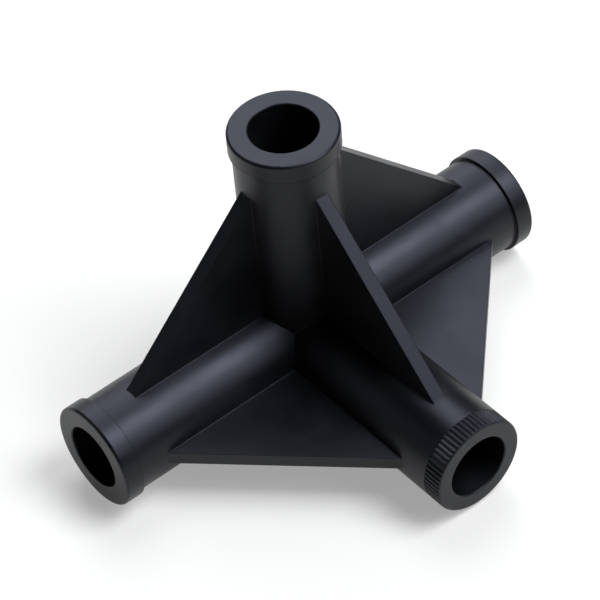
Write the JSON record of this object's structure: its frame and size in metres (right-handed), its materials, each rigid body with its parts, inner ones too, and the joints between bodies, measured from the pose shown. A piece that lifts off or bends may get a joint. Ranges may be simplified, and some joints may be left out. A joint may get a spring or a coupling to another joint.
{
  "type": "four-way tube connector",
  "caption": "Moulded plastic tube connector with sockets in line, a serrated branch and an upright at right angles, braced by triangular gusset webs.",
  "frame": {"origin": "middle of the bounding box's footprint, on the surface that the collars lie on", "axes": "+X along the two sockets in line, -Y along the serrated branch, +Z along the upright"},
  "size_m": [0.128, 0.0772, 0.0773],
  "materials": {
    "black_plastic": "satin moulded black"
  },
  "bodies": {
    "root": {"connector_body": "black_plastic"}
  },
  "joints": []
}
